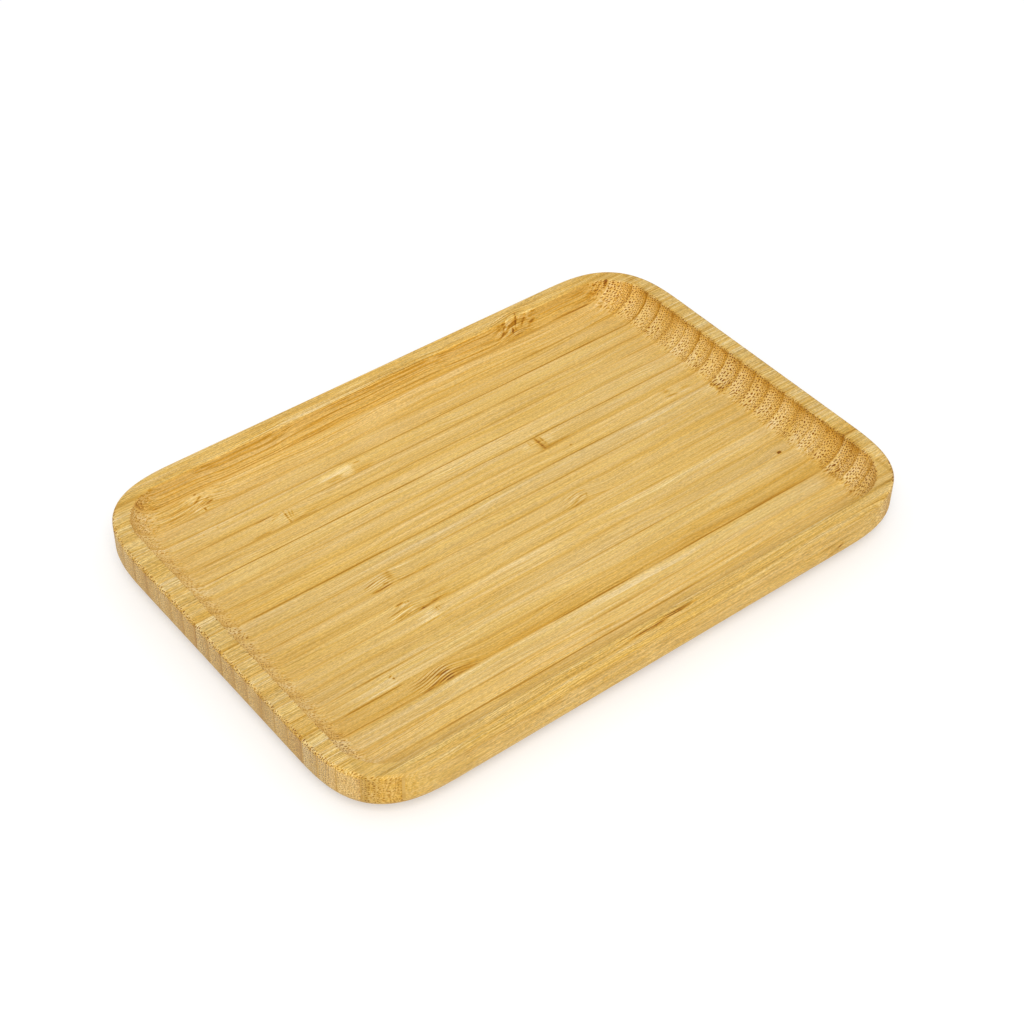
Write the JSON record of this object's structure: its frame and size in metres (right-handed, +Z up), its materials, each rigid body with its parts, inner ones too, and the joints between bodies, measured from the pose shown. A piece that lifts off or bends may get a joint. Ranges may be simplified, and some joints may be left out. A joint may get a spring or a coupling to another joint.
{
  "type": "bamboo appetizer tray",
  "caption": "Low rectangular bamboo tray with rounded corners and a shallow coved recess, built from glued strips laid along its length.",
  "frame": {"origin": "centre of the flat underside, on the surface the tray stands on", "axes": "+X along the length and the strips, +Y across the strips from the front edge to the back edge, +Z up"},
  "size_m": [0.2, 0.1386, 0.016],
  "materials": {
    "pale_bamboo": "sanded and oiled, satin, pale straw strips",
    "honey_bamboo": "sanded and oiled, satin, honey strips",
    "amber_bamboo": "sanded and oiled, satin, amber-streaked strips"
  },
  "bodies": {
    "root": {"front_edge_strip": "honey_bamboo", "strip_02": "pale_bamboo", "strip_03": "pale_bamboo", "strip_04": "honey_bamboo", "strip_05": "pale_bamboo", "strip_06": "amber_bamboo", "strip_07": "honey_bamboo", "strip_08": "pale_bamboo", "strip_09": "honey_bamboo", "strip_10": "pale_bamboo", "strip_11": "pale_bamboo", "strip_12": "honey_bamboo", "strip_13": "pale_bamboo", "strip_14": "honey_bamboo", "strip_15": "pale_bamboo", "strip_16": "honey_bamboo", "strip_17": "honey_bamboo", "strip_18": "pale_bamboo", "strip_19": "honey_bamboo", "strip_20": "pale_bamboo", "strip_21": "honey_bamboo", "strip_22": "amber_bamboo", "back_edge_strip": "amber_bamboo"}
  },
  "joints": []
}
